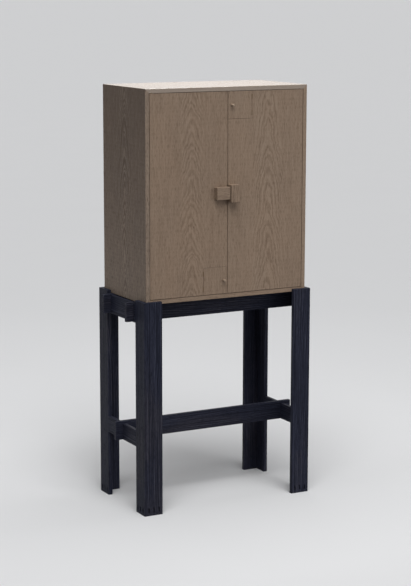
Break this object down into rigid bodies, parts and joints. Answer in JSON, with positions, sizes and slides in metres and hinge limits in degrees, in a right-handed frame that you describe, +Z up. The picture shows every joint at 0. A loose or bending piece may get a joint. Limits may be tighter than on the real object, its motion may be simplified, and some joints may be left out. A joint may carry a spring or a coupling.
{
  "type": "bar cabinet",
  "caption": "Tall two-door bar cabinet on a dark stand of crossed planks, with a small hatch in each door and a fold-out shelf with a swing bracket inside.",
  "frame": {"origin": "on the floor, under the centre of the bounding box", "axes": "+X to the right seen from the front, +Y to the back, +Z up; the doors face -Y"},
  "size_m": [0.7918, 0.4174, 1.635],
  "materials": {
    "greyed_oak": "matt oiled oak veneer, greyed tan, vertical cathedral grain",
    "black_stained_oak": "matt black stain over open-grained oak",
    "oak_plywood": "oak-faced plywood, matt",
    "beech": "raw beech, hidden in the joints",
    "brass": "satin",
    "steel": "zinc-plated, satin",
    "catch_plastic": "brown moulded catch body",
    "magnet": "nickel-plated disc magnet"
  },
  "bodies": {
    "stand_and_cabinet": {"front_left_leg_front_plank": "black_stained_oak", "front_left_leg_side_plank": "black_stained_oak", "front_right_leg_front_plank": "black_stained_oak", "front_right_leg_side_plank": "black_stained_oak", "rear_left_leg_rear_plank": "black_stained_oak", "rear_left_leg_side_plank": "black_stained_oak", "rear_right_leg_rear_plank": "black_stained_oak", "rear_right_leg_side_plank": "black_stained_oak", "leg_mitre_tongues": "beech", "left_side_rail": "black_stained_oak", "right_side_rail": "black_stained_oak", "left_side_stretcher": "black_stained_oak", "right_side_stretcher": "black_stained_oak", "front_cross_rail": "black_stained_oak", "rear_cross_rail": "black_stained_oak", "cross_stretcher": "black_stained_oak", "cabinet_screws": "steel", "top_panel": "greyed_oak", "bottom_panel": "greyed_oak", "left_side_panel": "greyed_oak", "right_side_panel": "greyed_oak", "carcass_mitre_tongues": "beech", "back_panel": "oak_plywood", "back_screws": "steel", "middle_shelf": "greyed_oak", "upper_shelf": "greyed_oak", "shelf_pins": "brass", "door_pivot_pins": "brass", "door_magnet_catches": "catch_plastic"},
    "left_door": {"left_door_panel": "greyed_oak", "left_handle": "greyed_oak", "left_handle_screws": "steel", "left_door_bushes": "brass", "left_hatch_hinge_door_leaves": "brass", "left_hatch_hinge_pins": "brass", "left_door_catch_plates": "steel", "shelf_hinge_door_leaves": "brass", "shelf_hinge_pins": "brass"},
    "right_door": {"right_door_panel": "greyed_oak", "right_handle": "greyed_oak", "right_handle_screws": "steel", "right_door_bushes": "brass", "right_hatch_hinge_door_leaves": "brass", "right_hatch_hinge_pins": "brass", "right_door_catch_plates": "steel"},
    "left_hatch": {"left_hatch_panel": "greyed_oak", "left_hatch_knob": "greyed_oak", "left_hatch_hinge_leaves": "brass", "left_hatch_magnet": "magnet"},
    "right_hatch": {"right_hatch_panel": "greyed_oak", "right_hatch_knob": "greyed_oak", "right_hatch_hinge_leaves": "brass", "right_hatch_magnet": "magnet"},
    "fold_out_shelf": {"fold_out_shelf": "greyed_oak", "fold_out_shelf_hinge_leaves": "brass", "fold_out_shelf_magnet": "magnet"},
    "shelf_bracket": {"shelf_bracket": "greyed_oak", "shelf_bracket_hinge_leaves": "brass"}
  },
  "joints": [
    {"name": "left_door_hinge", "type": "hinge", "parent": "stand_and_cabinet", "child": "left_door", "pos_m": [-0.323, -0.1737, 1.229], "axis": [0, 0, -1], "range_deg": [0, 120]},
    {"name": "right_door_hinge", "type": "hinge", "parent": "stand_and_cabinet", "child": "right_door", "pos_m": [0.323, -0.1737, 1.229], "axis": [0, 0, 1], "range_deg": [0, 120]},
    {"name": "left_hatch_hinge", "type": "hinge", "parent": "left_door", "child": "left_hatch", "pos_m": [-0.105, -0.1787, 0.893], "axis": [0, 0, -1], "range_deg": [0, 165]},
    {"name": "right_hatch_hinge", "type": "hinge", "parent": "right_door", "child": "right_hatch", "pos_m": [0.105, -0.1787, 1.565], "axis": [0, 0, 1], "range_deg": [0, 165]},
    {"name": "fold_out_shelf_hinge", "type": "hinge", "parent": "left_door", "child": "fold_out_shelf", "pos_m": [-0.186, -0.1581, 1.14], "axis": [-1, 0, 0], "range_deg": [0, 90]},
    {"name": "shelf_bracket_hinge", "type": "hinge", "parent": "left_door", "child": "shelf_bracket", "pos_m": [-0.186, -0.1581, 1.08], "axis": [0, 0, 1], "range_deg": [0, 90]}
  ]
}
